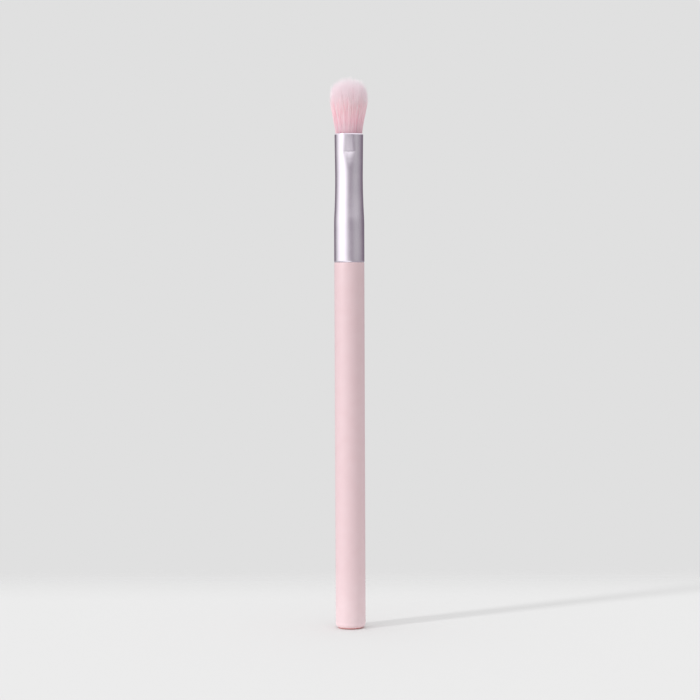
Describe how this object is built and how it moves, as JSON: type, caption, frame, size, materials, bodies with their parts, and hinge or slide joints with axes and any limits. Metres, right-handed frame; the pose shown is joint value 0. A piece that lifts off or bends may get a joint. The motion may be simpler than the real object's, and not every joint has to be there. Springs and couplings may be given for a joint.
{
  "type": "eyeshadow brush",
  "caption": "Slim cosmetic brush with a straight round handle, a necked and pressed metal ferrule and a flared, domed tuft of soft fibres for blending eye colour.",
  "frame": {"origin": "centre of the handle's flat end face, on which the brush stands", "axes": "+Z along the brush from the handle's end to the tip of the tuft, X along the wide side of the pressed mouth, Y through its thin side, with the front at -Y"},
  "size_m": [0.011, 0.0098, 0.1653],
  "materials": {
    "lacquered_wood": "soft matt pink lacquer",
    "satin_aluminium": "bright satin, faintly lilac",
    "fibre": "soft synthetic fibre, pink at the root and pale at the tip",
    "resin": "cast clear amber resin",
    "adhesive": "cured glue"
  },
  "bodies": {
    "root": {"handle": "lacquered_wood", "ferrule_glue": "adhesive", "ferrule": "satin_aluminium", "resin_plug": "resin", "bristle_core": "fibre", "bristle_ring_1": "fibre", "bristle_ring_2": "fibre", "bristle_ring_3": "fibre", "bristle_ring_4": "fibre"}
  },
  "joints": []
}
